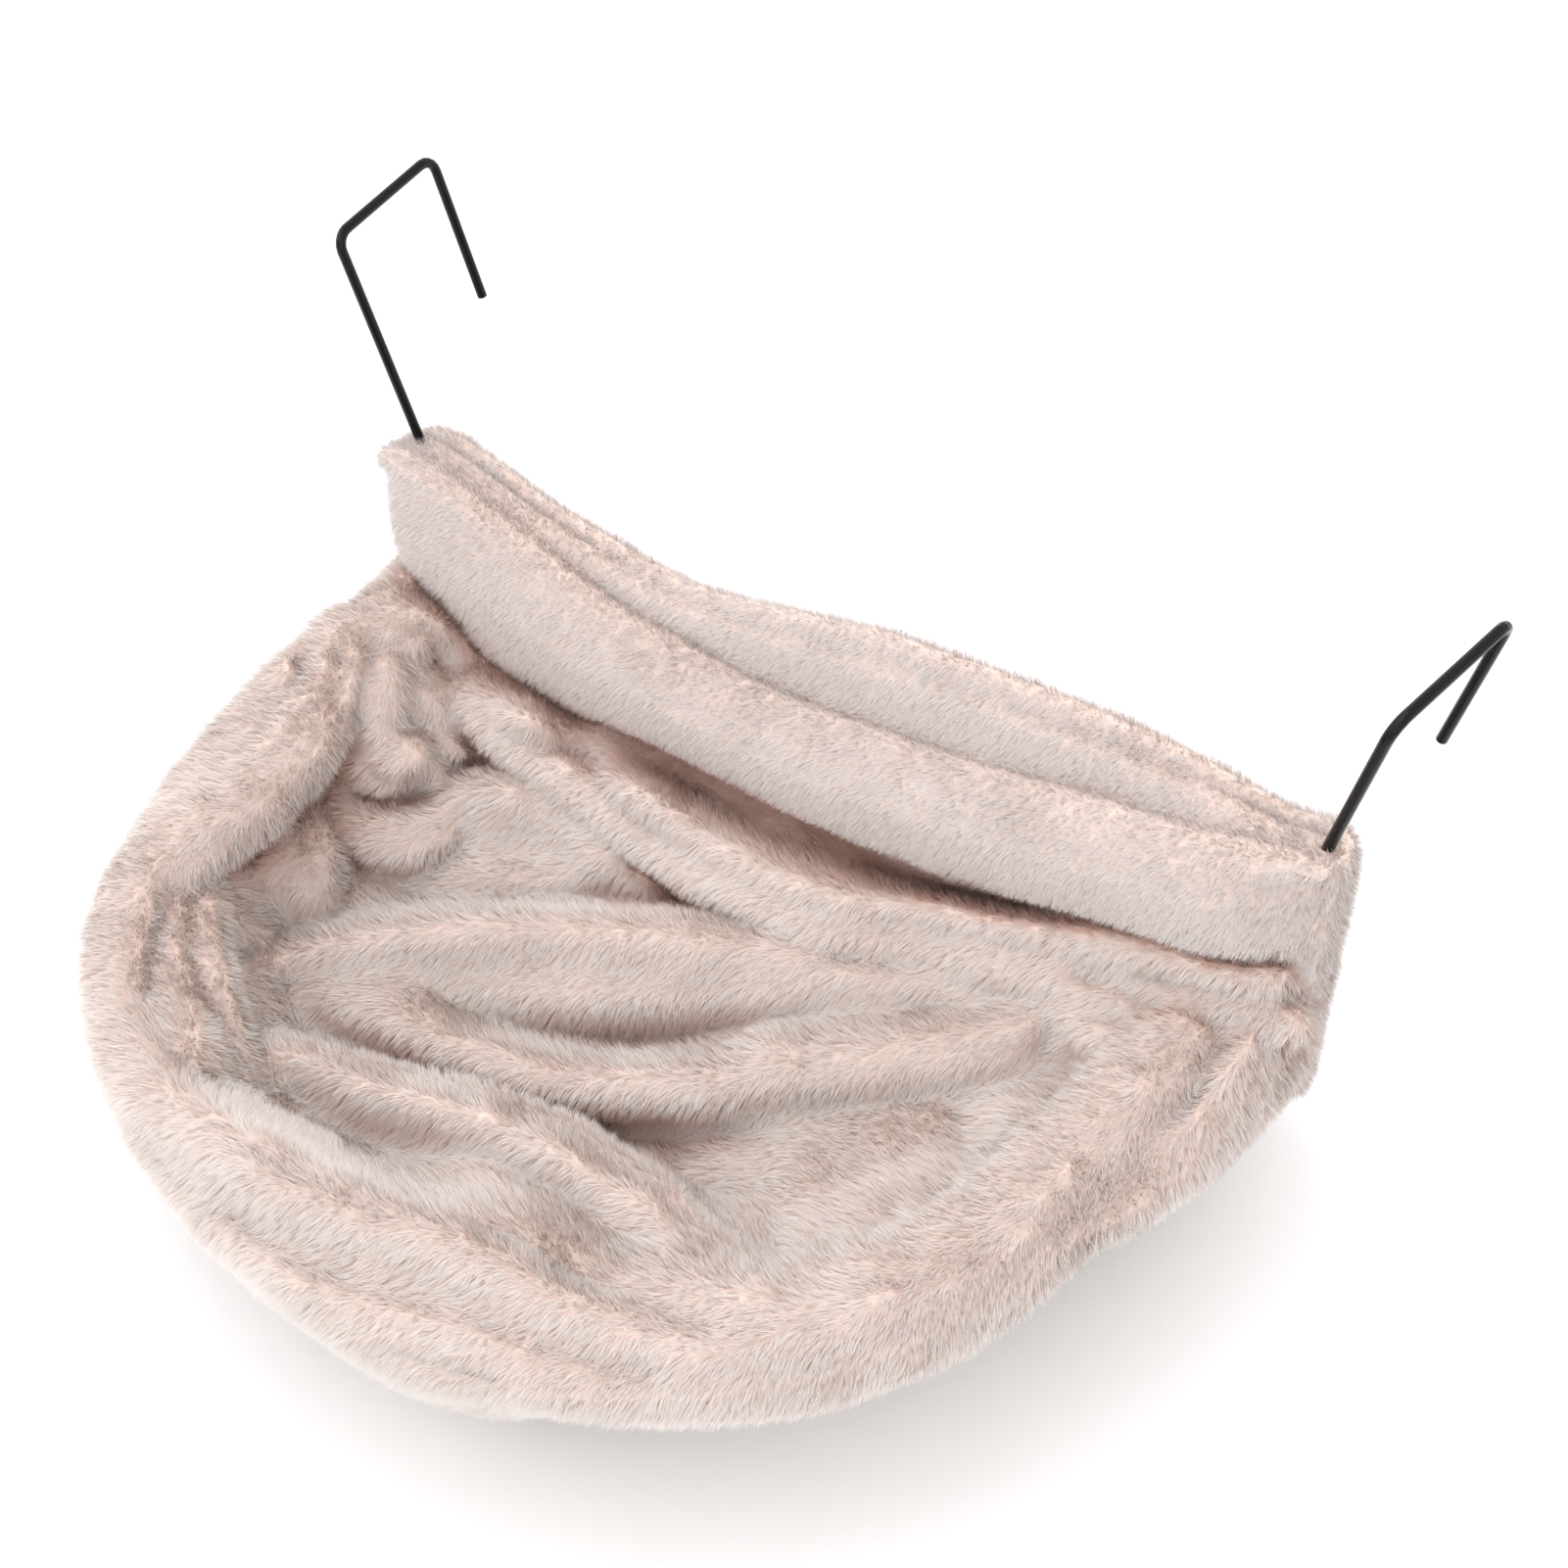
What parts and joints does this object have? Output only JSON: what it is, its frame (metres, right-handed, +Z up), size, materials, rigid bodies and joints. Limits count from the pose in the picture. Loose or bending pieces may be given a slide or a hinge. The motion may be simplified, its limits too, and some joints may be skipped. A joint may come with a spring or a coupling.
{
  "type": "radiator cat bed",
  "caption": "Plush hammock cat bed on a wire hoop, hung over a radiator's top edge by two bent wire hooks.",
  "frame": {"origin": "half way between the two hooks, in the plane of their legs' feet, at the height of the hooks' flat undersides, which is the top of the radiator", "axes": "+Z up, +Y backwards over the radiator, +X to the right along the radiator as seen from the front"},
  "size_m": [0.5038, 0.3901, 0.2533],
  "materials": {
    "hooks": "gloss black paint on bent steel wire",
    "hoop": "gloss black paint on steel wire",
    "rail": "gloss black paint on steel tube",
    "connectors": "moulded black nylon",
    "caps": "zinc plated push-on cap",
    "plush_outside": "long pile faux rabbit plush, pale pinkish beige",
    "plush_inside": "long pile faux rabbit plush, pale pinkish beige",
    "tape": "woven hook-and-loop tape"
  },
  "bodies": {
    "bed": {"left_corner_connector": "connectors", "right_corner_connector": "connectors", "rear_rail": "rail", "hoop_rod": "hoop", "rim_sleeve": "plush_outside", "outer_bag": "plush_outside", "lining": "plush_inside", "back_band": "plush_outside", "back_panel": "plush_outside", "loop_tape": "tape", "hook_tape": "tape"},
    "left_hook": {"left_hook": "hooks", "left_leg_cap": "caps"},
    "right_hook": {"right_hook": "hooks", "right_leg_cap": "caps"}
  },
  "joints": [
    {"name": "left_hook_turn", "type": "hinge", "parent": "bed", "child": "left_hook", "pos_m": [-0.21, 0, -0.159], "axis": [-0.1932, -0.0254, 0.9808], "range_deg": [-97, 82]},
    {"name": "right_hook_turn", "type": "hinge", "parent": "bed", "child": "right_hook", "pos_m": [0.21, 0, -0.159], "axis": [0.1932, -0.0254, 0.9808], "range_deg": [-82, 97]}
  ]
}
